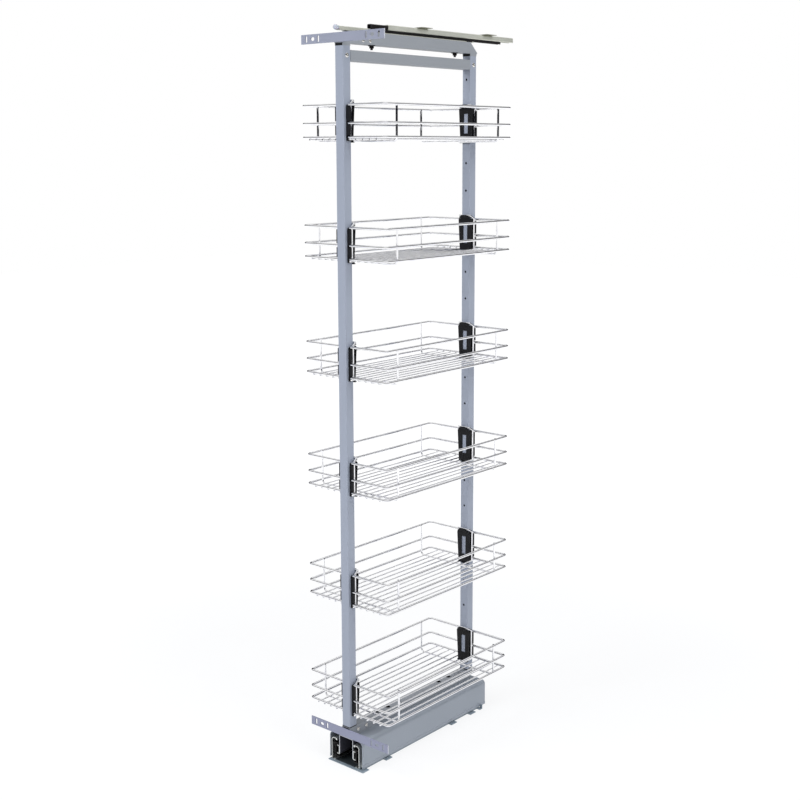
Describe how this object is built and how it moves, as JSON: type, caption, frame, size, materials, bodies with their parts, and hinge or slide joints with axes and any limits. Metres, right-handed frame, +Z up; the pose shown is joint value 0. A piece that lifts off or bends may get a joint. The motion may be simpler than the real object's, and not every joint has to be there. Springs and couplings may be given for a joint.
{
  "type": "pull out larder unit",
  "caption": "Tall pull-out larder frame with chrome wire baskets on two posts, sliding on a ball runner base and a telescopic top guide.",
  "frame": {"origin": "on the cabinet floor (underside of the base plate), under the middle of the two posts with the frame pushed in", "axes": "+Z up along the posts, -Y out of the cabinet towards the door, +X to the right seen from the door"},
  "size_m": [0.2735, 0.676, 1.7982],
  "materials": {
    "basket_chrome": "polished chrome plating on steel wire",
    "post_paint": "smooth satin powder coat, light bluish silver",
    "beam_paint": "satin powder coat, grey",
    "base_paint": "satin powder coat, blue grey",
    "channel_paint": "satin, dark grey",
    "runner_zinc": "bright zinc plated sheet",
    "runner_dark": "dark plated steel",
    "guide_zinc": "pale olive zinc plating",
    "zinc": "zinc plated fasteners and balls",
    "bright_screw": "bright nickel plating",
    "black_steel": "black oxide",
    "joiner_steel": "plain painted steel",
    "black_plastic": "black moulded plastic, slight sheen",
    "pale_plastic": "translucent white plastic"
  },
  "bodies": {
    "base": {"base_plate": "base_paint", "base_rivets": "zinc", "runner_outer_left": "runner_zinc", "runner_outer_right": "runner_zinc", "guide_rail_fixed": "guide_zinc", "guide_rail_tabs": "guide_zinc"},
    "frame": {"runner_inner_left": "runner_zinc", "runner_inner_right": "runner_zinc", "carriage_rivets": "zinc", "carriage_channel": "channel_paint", "base_cover": "beam_paint", "lower_beam": "beam_paint", "carriage_bolts": "zinc", "carriage_nuts": "zinc", "front_post": "post_paint", "rear_post": "post_paint", "post_foot_plugs": "black_plastic", "post_foot_bolts": "zinc", "post_caps": "black_plastic", "post_cap_bolts": "zinc", "cross_rail": "beam_paint", "cross_rail_joiners": "joiner_steel", "cross_rail_screws": "bright_screw", "top_beam": "beam_paint", "guide_bolts": "black_steel", "guide_washers": "black_steel", "guide_rail_inner": "guide_zinc", "guide_bumper": "pale_plastic", "guide_rear_clip": "bright_screw", "door_bracket_top": "post_paint", "door_bracket_bottom": "post_paint", "bracket_screws_top": "bright_screw", "bracket_screws_bottom": "bright_screw", "basket_1": "basket_chrome", "basket_2": "basket_chrome", "basket_3": "basket_chrome", "basket_4": "basket_chrome", "basket_5": "basket_chrome", "basket_6": "basket_chrome", "clip_1_front": "black_plastic", "clip_1_rear": "black_plastic", "clip_2_front": "black_plastic", "clip_2_rear": "black_plastic", "clip_3_front": "black_plastic", "clip_3_rear": "black_plastic", "clip_4_front": "black_plastic", "clip_4_rear": "black_plastic", "clip_5_front": "black_plastic", "clip_5_rear": "black_plastic", "clip_6_front": "black_plastic", "clip_6_rear": "black_plastic"},
    "runner_middle_left": {"runner_middle_left": "runner_dark"},
    "runner_middle_right": {"runner_middle_right": "runner_dark"},
    "outer_balls": {"runner_balls_outer": "zinc"},
    "inner_balls": {"runner_balls_inner": "zinc"},
    "guide_middle": {"guide_rail_middle": "runner_dark", "guide_middle_cap": "black_plastic"}
  },
  "joints": [
    {"name": "pull_out", "type": "slide", "parent": "base", "child": "frame", "axis": [0, -1, 0], "range_m": [0, 0.48]},
    {"name": "runner_middle_left_slide", "type": "slide", "parent": "base", "child": "runner_middle_left", "axis": [0, -1, 0], "range_m": [0, 0.24]},
    {"name": "runner_middle_right_slide", "type": "slide", "parent": "base", "child": "runner_middle_right", "axis": [0, -1, 0], "range_m": [0, 0.24]},
    {"name": "outer_balls_slide", "type": "slide", "parent": "base", "child": "outer_balls", "axis": [0, -1, 0], "range_m": [0, 0.12]},
    {"name": "inner_balls_slide", "type": "slide", "parent": "base", "child": "inner_balls", "axis": [0, -1, 0], "range_m": [0, 0.36]},
    {"name": "guide_middle_slide", "type": "slide", "parent": "base", "child": "guide_middle", "axis": [0, -1, 0], "range_m": [0, 0.24]}
  ],
  "couplings": [
    {"joint": "runner_middle_left_slide", "follows": "pull_out", "ratio": 0.5},
    {"joint": "runner_middle_right_slide", "follows": "pull_out", "ratio": 0.5},
    {"joint": "outer_balls_slide", "follows": "pull_out", "ratio": 0.25},
    {"joint": "inner_balls_slide", "follows": "pull_out", "ratio": 0.75},
    {"joint": "guide_middle_slide", "follows": "pull_out", "ratio": 0.5}
  ]
}
